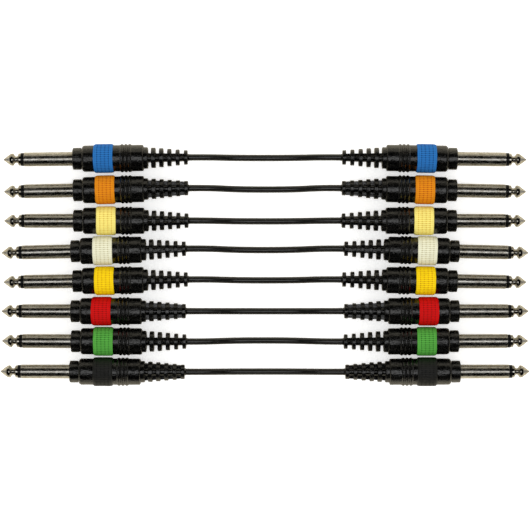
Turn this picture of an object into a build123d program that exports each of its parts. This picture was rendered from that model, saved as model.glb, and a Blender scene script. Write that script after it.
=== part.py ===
from build123d import *
import os
from math import pi, radians, sin, tan
from typing import NamedTuple

# A set of eight patch leads with a moulded 6.35 mm mono jack plug at both ends, laid side by side.
# The leads lie along X, the rows are spaced along Y, and the bands rest on the surface z = 0.
# The plugs at -X are modelled, and those at +X are their mirror image about x = 0.
# Sizes along a plug are measured from its tip, in mm.

# ---- the jack contacts -------------------------------------------------------------------------
SLEEVE_R = 6.35 / 2        # standard plug barrel
SLEEVE_START = 9.5         # front edge of the barrel
SLEEVE_WALL = 0.975
BALL_R = 2.9               # widest part of the tip
NECK_R = 1.5               # waist that the socket's spring drops into
LAND_R = 2.8               # flange of the tip that holds the black ring
ROD_R = 1.0                # rod that carries the tip through the barrel
RING_R = 3.0               # black insulating ring
RING_START = 8.0
FLANGE_START = 31.75       # a plug's standard reach, to the face of the barrel's flange
FLANGE_END = 33.0
FLANGE_R = 4.0             # held in the moulding
CUP_START = 36.0           # solder cup at the end of the rod
CUP_END = 41.0
CUP_R = 1.4
CUP_DEPTH = 3.5
WIRE_R = 0.6               # bare wire in the cup
TAG_DROP = 2.55            # ground tag's distance below the axis
TAG_THICK = 0.5
TAG_WIDE = 2.4
CLAW_START = 44.0          # claw of the tag, bent round the cable
CLAW_END = 47.0
CLAW_R = 2.4
CLAW_MOUTH = 1.6
EDGE_BREAK = 0.1           # rounding of the turned parts' sharp edges

# ---- the moulded grip --------------------------------------------------------------------------
GRIP_START = 31.9          # just behind the flange's face, which stands out by the difference
COLLAR_R = 5.05
COLLAR_END = 35.7
COLLAR_ROUND = 0.4
GROOVE_R = 4.6             # groove between the collar and the body
GROOVE_END = 36.1
BODY_R = 6.05
SHOULDER_ROUND = 1.3
BODY_END = 64.4
BODY_END_ROUND = 0.7
RIDGES = (54.5, 56.3, 58.1)  # middles of the finger ridges
RIDGE_R = 6.5
RIDGE_WIDE = 1.7
RIDGE_CREST = 0.5          # width before rounding
RIDGE_ROUND = 0.3
END_COLLAR_R = 4.95
END_COLLAR_END = 66.4
END_COLLAR_ROUND = 0.5
SEAM_WIDE = 0.25           # mould line
SEAM_DEEP = 0.1
SEAM_CLEAR = 0.25          # the mould line stops this far short of an edge or a ridge
SEAM_FRONT_END = 40.5      # and each side of the band
SEAM_REAR_START = 52.3

# ---- the ribbed strain relief ------------------------------------------------------------------
CORE_R = 1.9
CORE_END_R = 1.75
BOOT_END = 85.3
RIBS = ((68.9, 4.7), (72.55, 4.4), (76.25, 4.05), (80.05, 3.7), (83.8, 3.35))  # middle, radius
RIB_WIDE_FIRST = 2.0
RIB_WIDE_LAST = 1.7
RIB_RIM_ROUND = 0.28
WEB_SUNK = 0.5             # how far the web between the ribs runs into the end collar
WEB_START_R = 4.0          # half its width, at the grip and at the end
WEB_END_R = 3.0
WEB_THICK = 1.35

# ---- the colour band and the cable -------------------------------------------------------------
BAND_R = 6.7
BAND_BORE_R = BODY_R + 0.05
BAND_WIDE = 9.0
CABLE_R = 1.5
CONDUCTOR_R = 0.95         # insulated inner conductor
JACKET_START = 43.5
EXIT_RUN = 8.0             # the cable leaves each plug straight for this far
RADIUS_SHARE = 0.45        # of the shorter run at a bend
AXIS_Z = BAND_R            # plugs lie on their bands


class Lead(NamedTuple):
    colour: str
    tip_x: float        # both tips' distance from the middle of the set
    row_y: float        # plug axis at the band
    yaw: float          # degrees that the plug's cable end swings towards +Y
    roll: float         # degrees that the strain relief's web leans from upright towards +Y
    band_at: float      # middle of the band
    band_tilt: float    # degrees that the band's top leans towards the tip
    cable_y: float      # where the cable lies at mid length
    down_left: float    # x at which the cable comes down to the surface
    down_right: float


LEADS = (
    Lead("blue", 120.2, 49.0, 0.72, 20, 46.2, 2.0, 49.5, -13.0, 12.0),
    Lead("orange", 120.0, 34.6, 1.12, 80, 46.6, -0.5, 34.9, -11.5, 13.0),
    Lead("pale_yellow", 119.9, 20.35, 0.1, -28, 46.8, -3.0, 20.2, -13.5, 13.0),
    Lead("white", 121.1, 6.62, 1.29, -9, 46.5, -1.5, 6.9, -12.0, 11.5),
    Lead("yellow", 120.2, -7.22, 0.83, -20, 46.6, 1.0, -7.1, -13.0, 13.5),
    Lead("red", 121.1, -21.25, 0.0, 90, 46.2, 2.5, -21.4, -11.0, 12.5),
    Lead("green", 120.9, -35.1, -0.2, 20, 46.7, -0.5, -34.9, -12.5, 11.0),
    Lead("black", 121.6, -49.05, -0.14, 76, 47.2, 0.0, -49.3, -13.5, 12.5),
)


def turned(outline):
    """A solid turned about X from (distance along X, radius, corner rounding) points."""
    points = [(along, radius) for along, radius, _ in outline]
    roundings = [rounding for _, _, rounding in outline[1:-1]]
    edges = FilletPolyline(*points, radius=roundings) + Line(points[-1], points[0])
    return revolve(make_face(edges), Axis.X)


def rod(start, end, radius):
    """A cylinder on X."""
    return extrude(Plane.YZ.offset(start) * Circle(radius), end - start)


def tip_contact():
    return turned([
        (0, 0, 0),
        (0, 0.25, EDGE_BREAK),
        (3.3, 2.75, 1.5),
        (4.5, BALL_R, 0.8),
        (5.35, NECK_R, 0.6),
        (6.3, NECK_R, 0.4),
        (7.05, LAND_R, 0.15),
        (RING_START, LAND_R, 0),
        (RING_START, ROD_R, 0),
        (CUP_START, ROD_R, 0),
        (CUP_START, CUP_R, EDGE_BREAK),
        (CUP_END, CUP_R, 0),
        (CUP_END, WIRE_R, 0),
        (CUP_END - CUP_DEPTH, WIRE_R, 0),
        (CUP_END - CUP_DEPTH, 0, 0),
    ])


def insulator():
    tube_r = SLEEVE_R - SLEEVE_WALL
    return turned([
        (FLANGE_END, ROD_R, 0),
        (RING_START, ROD_R, 0),
        (RING_START, RING_R, EDGE_BREAK),
        (SLEEVE_START, RING_R, 0),
        (SLEEVE_START, tube_r, 0),
        (FLANGE_END, tube_r, 0),
    ])


def sleeve_contact():
    """The barrel with its flange, the ground tag behind it, and the claw round the cable."""
    bore_r = SLEEVE_R - SLEEVE_WALL
    barrel = turned([
        (FLANGE_END, bore_r, 0),
        (SLEEVE_START, bore_r, 0),
        (SLEEVE_START, SLEEVE_R, EDGE_BREAK),
        (FLANGE_START, SLEEVE_R, 0),
        (FLANGE_START, FLANGE_R, 0),
        (FLANGE_END, FLANGE_R, 0),
    ])
    tag_long = CLAW_END - FLANGE_END
    tag = Pos(FLANGE_END + tag_long / 2, 0, -TAG_DROP) * Box(tag_long, TAG_WIDE, TAG_THICK)
    claw = rod(CLAW_START, CLAW_END, CLAW_R) - rod(CLAW_START, CLAW_END, CABLE_R)
    mouth = Pos((CLAW_START + CLAW_END) / 2, 0, CLAW_R) * Box(
        CLAW_END - CLAW_START, CLAW_MOUTH, 2 * CLAW_R)
    return barrel + tag + (claw - mouth)


def rib_outline():
    """The strain relief's outline from the end collar to the tip of its core."""
    outline = []
    first, last = RIBS[0][0], RIBS[-1][0]
    for middle, radius in RIBS:
        share = (middle - first) / (last - first)
        half = (RIB_WIDE_FIRST + (RIB_WIDE_LAST - RIB_WIDE_FIRST) * share) / 2
        core = CORE_R + (CORE_END_R - CORE_R) * share
        outline += [
            (middle - half, core, 0),
            (middle - half, radius, RIB_RIM_ROUND),
            (middle + half, radius, RIB_RIM_ROUND),
            (middle + half, core, 0),
        ]
    return outline + [(BOOT_END, CABLE_R, 0)]


def web():
    """The flat web in the mould's parting plane that joins the ribs."""
    start, end = END_COLLAR_END - WEB_SUNK, RIBS[-1][0]
    outline = Polyline(
        (start, WEB_START_R),
        (end, WEB_END_R),
        (end, -WEB_END_R),
        (start, -WEB_START_R),
        close=True)
    return extrude(Plane.XZ * make_face(outline), WEB_THICK / 2, both=True)


def mould_line(side):
    """Shallow grooves where the mould's halves met, clear of the band and the ridges."""
    lengths = (
        (GRIP_START + COLLAR_ROUND, COLLAR_END, COLLAR_R),
        (GROOVE_END + SHOULDER_ROUND, SEAM_FRONT_END, BODY_R),
        (SEAM_REAR_START, RIDGES[0] - RIDGE_WIDE / 2, BODY_R),
        (RIDGES[-1] + RIDGE_WIDE / 2, BODY_END - BODY_END_ROUND, BODY_R),
    )
    grooves = []
    for start, end, radius in lengths:
        box = Box(end - start - 2 * SEAM_CLEAR, SEAM_WIDE, 2 * SEAM_DEEP)
        grooves.append(Pos((start + end) / 2, 0, side * radius) * box)
    return grooves


def grip(held):
    """The grip and strain relief, moulded round the pieces that it holds."""
    ridges = []
    for middle in RIDGES:
        ridges += [
            (middle - RIDGE_WIDE / 2, BODY_R, 0),
            (middle - RIDGE_CREST / 2, RIDGE_R, RIDGE_ROUND),
            (middle + RIDGE_CREST / 2, RIDGE_R, RIDGE_ROUND),
            (middle + RIDGE_WIDE / 2, BODY_R, 0),
        ]
    body = turned([
        (GRIP_START, 0, 0),
        (GRIP_START, COLLAR_R, COLLAR_ROUND),
        (COLLAR_END, COLLAR_R, EDGE_BREAK),
        (COLLAR_END, GROOVE_R, 0),
        (GROOVE_END, GROOVE_R, 0),
        (GROOVE_END, BODY_R, SHOULDER_ROUND),
        *ridges,
        (BODY_END, BODY_R, BODY_END_ROUND),
        (BODY_END, END_COLLAR_R, 0),
        (END_COLLAR_END, END_COLLAR_R, END_COLLAR_ROUND),
        (END_COLLAR_END, CORE_R, 0),
        *rib_outline(),
        (BOOT_END, 0, 0),
    ])
    grooves = [groove for side in (1, -1) for groove in mould_line(side)]
    return body + web() - grooves - held


def band(lead):
    """The woven band: a tube on the grip whose ends lean a little."""
    tube = rod(lead.band_at - BAND_WIDE, lead.band_at + BAND_WIDE, BAND_R)
    tube -= rod(lead.band_at - BAND_WIDE, lead.band_at + BAND_WIDE, BAND_BORE_R)
    wider = 4 * BAND_R
    slab = Rot(0, -lead.band_tilt, 0) * Box(BAND_WIDE, wider, wider)
    return tube & Pos(lead.band_at, 0, 0) * slab


def plug_place(lead):
    """Where a plug at -X lies: its tip, pointing outwards."""
    swing = radians(lead.yaw)
    tip_y = lead.row_y - lead.band_at * sin(swing)
    return Location((-lead.tip_x, tip_y, AXIS_Z), (0, 0, lead.yaw))


def cable_route(lead):
    """Points from one strain relief's end to the other's, in mm."""
    place = plug_place(lead)
    leaves = (place * Pos(BOOT_END, 0, 0)).position
    straight = (place * Pos(BOOT_END + EXIT_RUN, 0, 0)).position
    return [
        leaves,
        straight,
        Vector(lead.down_left, lead.cable_y, CABLE_R),
        Vector(lead.down_right, lead.cable_y, CABLE_R),
        Vector(-straight.X, straight.Y, straight.Z),
        Vector(-leaves.X, leaves.Y, leaves.Z),
    ]


def bend_radii(points):
    """Each bend's radius: as large as its two runs allow."""
    radii = []
    for before, at, after in zip(points, points[1:], points[2:]):
        turn = radians((at - before).get_angle(after - at))
        run = min((at - before).length, (after - at).length)
        radii.append(RADIUS_SHARE * run / tan(turn / 2))
    return radii


def cable(lead):
    """The jacket and the inner conductor, through both plugs."""
    points = cable_route(lead)
    radii = bend_radii(points)
    path = FilletPolyline(*points, radius=radii)
    start = Plane(origin=points[0], z_dir=points[1] - points[0])
    free_jacket = sweep(start * (Circle(CABLE_R) - Circle(CONDUCTOR_R)), path=path)
    free_conductor = sweep(start * Circle(CONDUCTOR_R), path=path)
    expected = pi * CABLE_R ** 2 * path.length
    got = free_jacket.volume + free_conductor.volume
    print(f"{lead.colour} cable: free length {path.length:.1f} mm, bend radii",
          ", ".join(f"{radius:.1f}" for radius in radii),
          f"mm, volume {got:.1f} mm3 against {expected:.1f} mm3")

    jacket_in = rod(JACKET_START, BOOT_END, CABLE_R) - rod(JACKET_START, BOOT_END, CONDUCTOR_R)
    conductor_in = rod(CUP_END, BOOT_END, CONDUCTOR_R) + rod(CUP_END - CUP_DEPTH, CUP_END, WIRE_R)
    jacket = free_jacket + both_ends(lead, jacket_in)
    conductor = free_conductor + both_ends(lead, conductor_in)
    return [jacket, conductor]


def both_ends(lead, piece):
    """A piece of the plug where it lies at -X, and its mirror image at +X."""
    placed = plug_place(lead) * piece
    return [placed, mirror(placed, about=Plane.YZ)]


def write(node, pieces):
    solids = [solid for piece in pieces for solid in piece.solids()]
    export_step(Compound(label=node, children=solids), f"parts/{node}.step")


def write_lead(lead, tip, ring, sleeve, moulding):
    rolled = Rot(-lead.roll, 0, 0)
    left_band, right_band = both_ends(lead, band(lead))
    write(f"{lead.colour}_tip_contacts", both_ends(lead, rolled * tip))
    write(f"{lead.colour}_insulators", both_ends(lead, rolled * ring))
    write(f"{lead.colour}_sleeves", both_ends(lead, rolled * sleeve))
    write(f"{lead.colour}_grips", both_ends(lead, rolled * moulding))
    write(f"{lead.colour}_band_left", [left_band])
    write(f"{lead.colour}_band_right", [right_band])
    write(f"{lead.colour}_cable", cable(lead))


def main():
    os.makedirs("parts", exist_ok=True)
    tip, ring, sleeve = tip_contact(), insulator(), sleeve_contact()
    cable_bore = rod(JACKET_START, BOOT_END, CABLE_R) + rod(CUP_END, JACKET_START, CONDUCTOR_R)
    cup_hole = rod(CUP_END - CUP_DEPTH, CUP_END, WIRE_R)
    moulding = grip([tip, ring, sleeve, cable_bore, cup_hole])
    for lead in LEADS:
        write_lead(lead, tip, ring, sleeve, moulding)


main()
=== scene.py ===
from math import cos, pi, radians, sin, tan

import bpy
import numpy as np
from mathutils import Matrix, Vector


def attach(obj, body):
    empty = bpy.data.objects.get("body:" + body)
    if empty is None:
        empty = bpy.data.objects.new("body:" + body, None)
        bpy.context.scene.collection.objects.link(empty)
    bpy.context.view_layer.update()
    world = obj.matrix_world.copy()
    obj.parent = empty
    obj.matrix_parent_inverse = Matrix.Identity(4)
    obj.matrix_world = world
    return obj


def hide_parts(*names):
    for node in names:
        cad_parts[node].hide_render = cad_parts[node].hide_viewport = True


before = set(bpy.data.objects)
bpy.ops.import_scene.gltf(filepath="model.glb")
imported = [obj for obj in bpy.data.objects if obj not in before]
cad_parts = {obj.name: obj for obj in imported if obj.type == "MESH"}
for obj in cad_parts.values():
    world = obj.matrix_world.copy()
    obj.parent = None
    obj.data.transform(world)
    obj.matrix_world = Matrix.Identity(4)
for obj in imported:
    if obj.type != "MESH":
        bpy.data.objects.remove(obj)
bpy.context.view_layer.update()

MM = 0.001

# ---- the leads, as in the CAD model, in mm and degrees -----------------------------------------
# colour: (tips' x, row's y, plug's yaw, band's middle from the tip, band's tilt,
#          cable's y at mid length, x where the cable comes down on the left, and on the right)
LEADS = {
    "blue": (120.2, 49.0, 0.72, 46.2, 2.0, 49.5, -13.0, 12.0),
    "orange": (120.0, 34.6, 1.12, 46.6, -0.5, 34.9, -11.5, 13.0),
    "pale_yellow": (119.9, 20.35, 0.1, 46.8, -3.0, 20.2, -13.5, 13.0),
    "white": (121.1, 6.62, 1.29, 46.5, -1.5, 6.9, -12.0, 11.5),
    "yellow": (120.2, -7.22, 0.83, 46.6, 1.0, -7.1, -13.0, 13.5),
    "red": (121.1, -21.25, 0.0, 46.2, 2.5, -21.4, -11.0, 12.5),
    "green": (120.9, -35.1, -0.2, 46.7, -0.5, -34.9, -12.5, 11.0),
    "black": (121.6, -49.05, -0.14, 47.2, 0.0, -49.3, -13.5, 12.5),
}
AXIS_Z = 6.7               # height of the plugs' axes
BOOT_END = 85.3            # end of the strain relief, from the tip
EXIT_RUN = 8.0             # the cable leaves each plug straight for this far
CABLE_R = 1.5
IN_BOOT = 2.0              # the cord's ends start this far inside the strain reliefs

# ---- helpers for shader nodes ------------------------------------------------------------------


class Shader:
    """A material with one Principled node, and short calls for the nodes that drive it.

    Lengths are in mm: a noise's scale is in waves to a mm, and a bump's distance is its depth.
    The Principled node's sockets are named with _ for a space.
    """

    def __init__(self, name, **constants):
        self.material = bpy.data.materials.new(name)
        self.material.use_nodes = True
        self.tree = self.material.node_tree
        self.tree.nodes.clear()
        self.bsdf = self.tree.nodes.new("ShaderNodeBsdfPrincipled")
        out = self.tree.nodes.new("ShaderNodeOutputMaterial")
        self.tree.links.new(self.bsdf.outputs["BSDF"], out.inputs["Surface"])
        for socket, value in constants.items():
            self.bsdf.inputs[socket.replace("_", " ")].default_value = value

    def node(self, kind, inputs=(), **settings):
        """A new node of this kind, with its inputs fed and its settings set."""
        made = self.tree.nodes.new(f"ShaderNode{kind}")
        for setting, value in settings.items():
            setattr(made, setting, value)
        for socket, value in dict(inputs).items():
            self.feed(made.inputs[socket], value)
        return made

    def feed(self, socket, value):
        """Link a node's output to a socket, or set the socket to a number or colour."""
        if isinstance(value, bpy.types.NodeSocket):
            self.tree.links.new(value, socket)
        elif isinstance(value, tuple) and socket.type == "RGBA":
            socket.default_value = (*value, 1)
        else:
            socket.default_value = value

    def place(self, scale=(1, 1, 1)):
        """The position in mm, times scale: under 1 stretches a pattern along that axis."""
        at = self.node("TexCoord").outputs["Object"]
        by = tuple(s / MM for s in scale)
        return self.node("Mapping", {"Vector": at, "Scale": by}).outputs["Vector"]

    def noise(self, at, scale, detail, rough=0.5):
        """Uneven patches, from 0 to 1 and mostly near 0.5."""
        inputs = {"Vector": at, "Scale": scale, "Detail": detail, "Roughness": rough}
        return self.node("TexNoise", inputs).outputs["Fac"]

    def ramp(self, factor, start, end):
        """Goes from start to end as factor rises. Each is (factor, grey level or colour)."""
        made = self.node("ValToRGB", {"Fac": factor})
        for element, (place, colour) in zip(made.color_ramp.elements, (start, end)):
            rgb = colour if isinstance(colour, tuple) else (colour,) * 3
            element.position = place
            element.color = (*rgb, 1)
        return made.outputs["Color"]

    def math(self, operation, a, b):
        return self.node("Math", {0: a, 1: b}, operation=operation).outputs[0]

    def blended(self, share, a, b):
        """share of a and the rest of b."""
        rest = self.math("MULTIPLY", b, 1 - share)
        return self.math("ADD", self.math("MULTIPLY", a, share), rest)

    def mix(self, factor, a, b, blend_type="MIX"):
        """Colour a at factor 0 and b, or a and b blended, at factor 1."""
        factor_in, a_in, b_in, colour_out = 0, 6, 7, 2
        inputs = {factor_in: factor, a_in: a, b_in: b}
        made = self.node("Mix", inputs, data_type="RGBA", blend_type=blend_type)
        return made.outputs[colour_out]

    def bump(self, height, distance, strength, under=None):
        """The surface's direction with a bump, which can lie over another bump."""
        inputs = {"Height": height, "Distance": distance * MM, "Strength": strength}
        if under is not None:
            inputs["Normal"] = under
        return self.node("Bump", inputs).outputs["Normal"]

    def drive(self, **links):
        """Link nodes' outputs to the Principled node's sockets."""
        for socket, value in links.items():
            self.tree.links.new(value, self.bsdf.inputs[socket.replace("_", " ")])
        return self.material


# ---- materials ---------------------------------------------------------------------------------


def nickel(name, smooth, worn):
    """Nickel plate: lengthwise rub marks from use, warm tarnish, small dents and smudges.

    smooth and worn are its least and greatest roughness.
    """
    s = Shader(name, Metallic=1.0)
    streaks = s.noise(s.place((0.12, 1.0, 1.0)), scale=2.2, detail=5.0, rough=0.65)
    smudges = s.noise(s.place(), scale=0.45, detail=4.0, rough=0.6)
    mottle = s.noise(s.place((0.35, 1.0, 1.0)), scale=1.7, detail=3.0, rough=0.6)
    scratches = s.noise(s.place((0.05, 1.0, 1.0)), scale=9.0, detail=2.0, rough=0.6)
    clean = s.ramp(streaks, (0.35, (0.50, 0.48, 0.435)), (0.65, (0.80, 0.78, 0.72)))
    tarnish = s.ramp(smudges, (0.48, 0.0), (0.70, 0.75))
    colour = s.mix(tarnish, clean, (0.40, 0.355, 0.27))
    rough = s.ramp(s.blended(0.6, mottle, streaks), (0.40, smooth), (0.64, worn))
    normal = s.bump(scratches, distance=0.012, strength=0.5)
    normal = s.bump(mottle, distance=0.014, strength=0.5, under=normal)
    return s.drive(Base_Color=colour, Roughness=rough, Normal=normal)


def ring_plastic():
    """The insulator's glossy black moulding."""
    s = Shader("ring_plastic", IOR=1.5, Specular_IOR_Level=0.2)
    fine = s.noise(s.place(), scale=5.0, detail=3.0)
    return s.drive(
        Base_Color=s.ramp(fine, (0.3, 0.002), (0.7, 0.005)),
        Roughness=s.ramp(fine, (0.3, 0.12), (0.7, 0.26)),
        Normal=s.bump(fine, distance=0.01, strength=0.4))


def grip_pvc():
    """Soft black PVC: a mottled satin skin, slow unevenness of the moulding, and dust."""
    s = Shader("grip_pvc", IOR=1.52, Specular_IOR_Level=1.0)
    skin = s.noise(s.place(), scale=5.0, detail=2.0, rough=0.6)
    mottle = s.noise(s.place((0.7, 1.0, 1.0)), scale=1.1, detail=3.0, rough=0.6)
    slow = s.noise(s.place((0.5, 1.0, 1.0)), scale=0.40, detail=3.0, rough=0.5)
    dust = s.noise(s.place(), scale=2.2, detail=3.0, rough=0.7)
    black = s.ramp(slow, (0.3, (0.0006, 0.0006, 0.0005)), (0.7, (0.0024, 0.0024, 0.002)))
    colour = s.mix(s.ramp(dust, (0.60, 0.0), (0.76, 0.40)), black, (0.045, 0.042, 0.034))
    rough = s.ramp(mottle, (0.34, 0.13), (0.66, 0.31))
    normal = s.bump(slow, distance=0.20, strength=0.8)
    normal = s.bump(mottle, distance=0.15, strength=1.0, under=normal)
    normal = s.bump(skin, distance=0.016, strength=0.6, under=normal)
    return s.drive(Base_Color=colour, Roughness=rough, Normal=normal)


def cable_pvc():
    """The cable's smooth jacket, a little uneven along its length."""
    s = Shader("cable_pvc", IOR=1.52, Specular_IOR_Level=1.0)
    along = s.noise(s.place((0.2, 1.0, 1.0)), scale=1.1, detail=3.0, rough=0.5)
    fine = s.noise(s.place((0.3, 1.0, 1.0)), scale=5.0, detail=2.0)
    unevenness = s.bump(along, distance=0.05, strength=0.4)
    return s.drive(
        Base_Color=s.ramp(along, (0.3, (0.005, 0.005, 0.004)), (0.7, (0.010, 0.010, 0.009))),
        Roughness=s.ramp(along, (0.3, 0.16), (0.7, 0.28)),
        Normal=s.bump(fine, distance=0.012, strength=0.5, under=unevenness))


# Each ribbon: the yarn's colour where it is raised, and a darker colour painted into the gaps
# between the yarns as shade.
RIBBONS = {
    "blue": ((0.019, 0.158, 0.470), (0.004, 0.043, 0.160)),
    "orange": ((0.724, 0.247, 0.005), (0.434, 0.076, 0.002)),
    "pale_yellow": ((0.901, 0.783, 0.213), (0.664, 0.424, 0.044)),
    "white": ((0.802, 0.797, 0.608), (0.492, 0.454, 0.262)),
    "yellow": ((0.892, 0.630, 0.002), (0.601, 0.294, 0.001)),
    "red": ((0.560, 0.002, 0.002), (0.243, 0.001, 0.001)),
    "green": ((0.083, 0.359, 0.050), (0.021, 0.120, 0.014)),
    "black": ((0.009, 0.010, 0.008), (0.0003, 0.0003, 0.0003)),
}
COLOUR_GLINT = 0.1
BLACK_GLINT = 0.8          # black yarn shows mostly by its glints


def ribbon(colour):
    """Woven elastic, with painted shade darkening the weave's gaps; the yarn is a little uneven.
    """
    raised, gap_shade = RIBBONS[colour]
    glint = BLACK_GLINT if colour == "black" else COLOUR_GLINT
    s = Shader(f"ribbon_{colour}", IOR=1.45, Specular_IOR_Level=glint)
    relief = s.node("Attribute", attribute_name="relief").outputs["Fac"]
    yarn = s.noise(s.place((1.0, 0.35, 0.35)), scale=9.0, detail=2.0, rough=0.6)
    slow = s.noise(s.place(), scale=0.5, detail=2.0)
    # painted shade: where the relief is low, in the weave's gaps and pits, the colour goes to the
    # darker one
    weave = s.mix(s.ramp(relief, (0.30, 0.0), (0.85, 1.0)), gap_shade, raised)
    shade = s.ramp(s.blended(0.6, yarn, slow), (0.3, 0.84), (0.7, 1.06))
    return s.drive(
        Base_Color=s.mix(1.0, weave, shade, blend_type="MULTIPLY"),
        Roughness=s.ramp(yarn, (0.3, 0.36), (0.7, 0.66)),
        Normal=s.bump(yarn, distance=0.05, strength=0.8))


# ---- the woven bands ---------------------------------------------------------------------------

# lengths here are in mm
BAND_R = 6.7               # outermost radius
BAND_BORE_R = 6.12
BAND_HALF = 4.5
UNDER_TOP = 0.03           # the yarns' tops lie this far under the outermost radius
COLUMNS = 5                # the outer two are the selvedges
COLUMN = 2 * BAND_HALF / COLUMNS
ROWS = 42                  # weft rows round the band
ALONG = 12                 # mesh steps in a column
ROUND = 6                  # mesh steps in a row
INSIDE_STEPS = 5           # mesh steps along the bore
INSIDE_SHORT = 0.08        # the bore's ends stop this far inside the edges
CROWN_POWER = 6            # flatness of a column's crown
CROWN_DEEP = 0.04
ROW_DEEP = 0.13            # dip between two rows in a column
CORD_DEEP = 0.06           # dips beside a selvedge's cords, and between its rows
CORD_ROW_DEEP = 0.06
PIT_DEEP = 0.20            # pits where two columns and two rows meet
PIT_LONG = 0.22
PIT_WIDE = 0.24
RELIEF_DEEP = 0.22         # depth at which the relief is 0
# the bore's relief, which gives it half the painted gap shade
BORE_RELIEF = 0.5
CURL_LONG = 0.9            # the selvedge turns in over this length
CURL_DEEP = 0.42
CURL_POWER = 1.6
WAVES = (1, 2, 3, 5)       # waves round the band that its unevenness is made of
SWAY = 0.10                # size of the columns' and the edges' wandering
EDGE_POWER = 3             # how far the edges' wandering stays near the edges
DENT = 0.04                # size of the surface's wandering
ROW_SHIFT = 0.1            # most that a band's rows are turned, in radians


def wander(rng, angle, size):
    """A smooth closed wave round the band."""
    total = 0
    for n in WAVES:
        strength = rng.uniform(0.3, 1) / n ** 0.5
        phase = rng.uniform(0, 2 * pi)
        total = total + strength * np.sin(n * angle + phase)
    return size * total / 2


def weave_relief(u, angle, drift):
    """The woven surface's height, from 0 at the top of a yarn down, at u along the band."""
    margin = 0.001         # keeps the edges inside the outer columns
    column = np.clip((u - drift) / COLUMN + COLUMNS / 2, margin, COLUMNS - margin)
    index = np.floor(column)
    across = column - index
    row = angle / (2 * pi) * ROWS
    in_row = row - np.floor(row)
    middle = (index > 0) & (index < COLUMNS - 1)
    crown = 1 - (2 * across - 1) ** CROWN_POWER
    arch = np.sin(pi * in_row)
    padded = -CROWN_DEEP * (1 - crown) - ROW_DEEP * (1 - arch) * crown
    cords = -CORD_DEEP * (1 - np.abs(np.sin(2 * pi * across))) - CORD_ROW_DEEP * (1 - arch)
    height = np.where(middle, padded, cords)
    nearest = np.clip(np.round(column), 1, COLUMNS - 1)
    gap = (column - nearest) * COLUMN
    beside = np.minimum(in_row, 1 - in_row) * 2 * pi * BAND_R / ROWS
    pits = -PIT_DEEP * np.exp(-(gap / PIT_LONG) ** 2 - (beside / PIT_WIDE) ** 2)
    return height + pits


def band_points(seed):
    """The ring's points, by place in its profile and step round it: how far along the band they
    are, their radius, angle and relief, which is 0 in the weave's gaps and 1 on a yarn."""
    rng = np.random.RandomState(seed)
    steps = ROWS * ROUND
    angle = np.arange(steps) * 2 * pi / steps
    u = np.linspace(-BAND_HALF, BAND_HALF, COLUMNS * ALONG + 1)[:, None]
    drift, left_edge, right_edge = [wander(rng, angle, SWAY) for _ in range(3)]
    height = weave_relief(u, angle + rng.uniform(0, ROW_SHIFT), drift)
    turn = np.clip((np.abs(u) - (BAND_HALF - CURL_LONG)) / CURL_LONG, 0, 1)
    dents = np.abs(wander(rng, angle, DENT))
    radius = BAND_R - UNDER_TOP + height - CURL_DEEP * turn ** CURL_POWER - dents
    relief = np.clip(1 + height / RELIEF_DEEP, 0, 1)

    bore_end = BAND_HALF - INSIDE_SHORT
    bore_u = np.linspace(bore_end, -bore_end, INSIDE_STEPS)[:, None]
    bore_shape = (INSIDE_STEPS, steps)
    all_u = np.vstack([u, bore_u])
    edge = np.where(all_u < 0, left_edge, right_edge)
    along = all_u + edge * np.clip(np.abs(all_u) / BAND_HALF, 0, 1) ** EDGE_POWER
    radius = np.vstack([np.minimum(radius, BAND_R), np.full(bore_shape, BAND_BORE_R)])
    relief = np.vstack([relief, np.full(bore_shape, BORE_RELIEF)])
    return along, radius, np.broadcast_to(angle, along.shape), relief


def make_band(colour, side, seed):
    """One woven band. It is made for the left plug, and mirrored for the right one."""
    tip_x, row_y, yaw, band_at, tilt, *_ = LEADS[colour]
    along, radius, angle, relief = band_points(seed)
    y, z = radius * np.sin(angle), radius * np.cos(angle)
    leaned = along - z * tan(radians(tilt))
    swing = radians(yaw)
    world_x = -tip_x + band_at * cos(swing) + leaned * cos(swing) - y * sin(swing)
    world_y = row_y + leaned * sin(swing) + y * cos(swing)
    if side == "right":
        world_x = -world_x
    points = np.stack([world_x, world_y, z + AXIS_Z], axis=-1).reshape(-1, 3) * MM
    rows, steps = along.shape
    i, j = np.meshgrid(np.arange(rows), np.arange(steps), indexing="ij")
    up, on = (i + 1) % rows, (j + 1) % steps
    corners = [i * steps + j, i * steps + on, up * steps + on, up * steps + j]
    quads = np.stack(corners, axis=-1).reshape(-1, 4)
    if side == "left":         # so that the faces look outwards on both
        quads = quads[:, ::-1]
    mesh = bpy.data.meshes.new(f"{colour}_ribbon_{side}")
    mesh.from_pydata(points.tolist(), [], quads.tolist())
    mesh.shade_smooth()
    # the relief sets how far the ribbon's painted shade darkens each point
    layer = mesh.attributes.new("relief", "FLOAT", "POINT")
    layer.data.foreach_set("value", relief.reshape(-1).astype(np.float32))
    band = bpy.data.objects.new(mesh.name, mesh)
    bpy.context.scene.collection.objects.link(band)
    mesh.materials.append(ribbons[colour])
    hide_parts(f"{colour}_band_{side}")
    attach(band, f"{colour}_band_{side}_ring")


# ---- the cables --------------------------------------------------------------------------------

CORD_STEPS = 24            # curve steps between two route points
CORD_ROUND = 7             # bevel resolution of the round section


def on_plug(lead, along):
    """A point on the left plug's axis, in mm."""
    tip_x, row_y, yaw, band_at = lead[:4]
    swing = radians(yaw)
    return (-tip_x + along * cos(swing), row_y + (along - band_at) * sin(swing), AXIS_Z)


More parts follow.
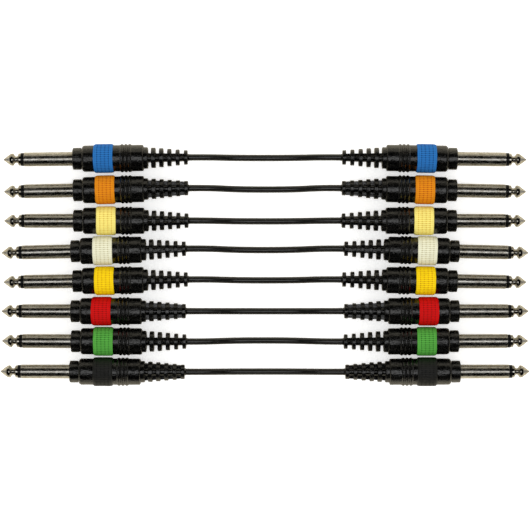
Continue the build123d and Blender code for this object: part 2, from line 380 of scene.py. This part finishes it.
def make_cord(colour):
    """One cable, as a smooth curve through the route of the CAD model's cable."""
    lead = LEADS[colour]
    cable_y, down_left, down_right = lead[5:]
    starts = on_plug(lead, BOOT_END - IN_BOOT)
    straight = on_plug(lead, BOOT_END + EXIT_RUN)
    route = [
        starts,
        straight,
        (down_left, cable_y, CABLE_R),
        (down_right, cable_y, CABLE_R),
        (-straight[0], *straight[1:]),
        (-starts[0], *starts[1:]),
    ]
    curve = bpy.data.curves.new(f"{colour}_cord", "CURVE")
    curve.dimensions = "3D"
    spline = curve.splines.new("NURBS")
    spline.points.add(len(route) - 1)
    for point, (x, y, z) in zip(spline.points, route):
        point.co = (x * MM, y * MM, z * MM, 1)
    spline.order_u = 3
    spline.use_endpoint_u = True
    spline.resolution_u = CORD_STEPS
    curve.bevel_depth = CABLE_R * MM
    curve.bevel_resolution = CORD_ROUND
    cord = bpy.data.objects.new(curve.name, curve)
    bpy.context.scene.collection.objects.link(cord)
    curve.materials.append(cable)
    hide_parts(f"{colour}_cable")
    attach(cord, f"{colour}_lead")


# ---- the studio --------------------------------------------------------------------------------

# lengths here are in metres
CAMERA_UP = 0.9            # above the plugs' axes
VIEW_WIDE = 0.2438         # width of the view at the plugs' axes
SENSOR = 36.0              # in mm, as Blender has it
NEAR, FAR = 0.01, 20.0
WORLD_STRENGTH = 1.06
FLOOR_HALF = 6.0
FLOOR_GLOW = 0.50          # lightens the shadows between the plugs where the camera sees them
FLOOR_BEIGE = (0.72, 0.66, 0.52)


def make_camera():
    """Straight above the middle of the set, looking down."""
    data = bpy.data.cameras.new("camera")
    data.sensor_width = SENSOR
    data.lens = SENSOR / VIEW_WIDE * CAMERA_UP
    data.clip_start, data.clip_end = NEAR, FAR
    camera = bpy.data.objects.new("camera", data)
    camera.location = (0, 0, CAMERA_UP + AXIS_Z * MM)
    bpy.context.scene.collection.objects.link(camera)
    bpy.context.scene.camera = camera


def area_light(name, place, size, radiance, colour=(1, 1, 1)):
    """A soft rectangular light that faces the origin. radiance 1 is a white floor's brightness."""
    data = bpy.data.lights.new(name, "AREA")
    data.shape = "RECTANGLE"
    width, length = size
    data.size, data.size_y = width, length
    data.energy = radiance * pi * width * length
    data.color = colour
    light = bpy.data.objects.new(name, data)
    light.location = place
    toward = Vector() - Vector(place)
    light.rotation_euler = toward.to_track_quat("-Z", "Y").to_euler()
    light.visible_camera = False
    bpy.context.scene.collection.objects.link(light)


def make_floor():
    """White paper, lighter where it is seen directly and beige where a gloss reflects it."""
    mesh = bpy.data.meshes.new("floor")
    half = FLOOR_HALF
    mesh.from_pydata([(-half, -half, 0), (half, -half, 0), (half, half, 0), (-half, half, 0)],
                     [], [(0, 1, 2, 3)])
    floor = bpy.data.objects.new("floor", mesh)
    bpy.context.scene.collection.objects.link(floor)
    s = Shader("floor_paper", Roughness=0.9, Specular_IOR_Level=0.0)
    grain = s.noise(s.place(), scale=0.8, detail=2.0)
    paper = s.ramp(grain, (0.3, (0.93, 0.93, 0.925)), (0.7, (0.95, 0.95, 0.945)))
    rays = s.node("LightPath").outputs
    s.drive(Base_Color=s.mix(rays["Is Glossy Ray"], paper, FLOOR_BEIGE),
            Emission_Strength=s.math("MULTIPLY", rays["Is Camera Ray"], FLOOR_GLOW))
    s.bsdf.inputs["Emission Color"].default_value = (1, 1, 1, 1)
    mesh.materials.append(s.material)


def make_world():
    """Even white light from all round, which no gloss reflects."""
    world = bpy.data.worlds.new("studio")
    bpy.context.scene.world = world
    world.use_nodes = True
    background = world.node_tree.nodes["Background"]
    background.inputs["Color"].default_value = (1.0, 0.995, 0.98, 1)
    background.inputs["Strength"].default_value = WORLD_STRENGTH
    world.cycles_visibility.glossy = False


# ---- the whole set -----------------------------------------------------------------------------


def dress(node, material):
    """Give a CAD node's mesh one material."""
    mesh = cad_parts[node].data
    mesh.materials.clear()
    mesh.materials.append(material)


barrel_nickel = nickel("barrel_nickel", smooth=0.17, worn=0.40)
tip_nickel = nickel("tip_nickel", smooth=0.08, worn=0.24)
ring, grips_pvc, cable = ring_plastic(), grip_pvc(), cable_pvc()
ribbons = {colour: ribbon(colour) for colour in LEADS}

for number, colour in enumerate(LEADS):
    dress(f"{colour}_tip_contacts", tip_nickel)
    dress(f"{colour}_sleeves", barrel_nickel)
    dress(f"{colour}_insulators", ring)
    dress(f"{colour}_grips", grips_pvc)
    make_band(colour, "left", 2 * number + 1)
    make_band(colour, "right", 2 * number + 2)
    make_cord(colour)

make_floor()
make_world()
make_camera()
area_light("overhead", (0, -0.12, 1.3), (1.0, 0.50), radiance=1.15)
area_light("warm_side", (0, 0.9, 0.30), (2.4, 0.50), radiance=0.50, colour=(1.0, 0.93, 0.76))
area_light("low_side", (0, -0.9, 0.085), (2.4, 0.12), radiance=0.50, colour=(1.0, 0.95, 0.82))
for side in (-1, 1):
    area_light("end", (side * 1.0, 0, 0.16), (0.9, 0.36), radiance=0.35, colour=(1.0, 0.98, 0.92))
bpy.context.scene.view_settings.view_transform = "Standard"
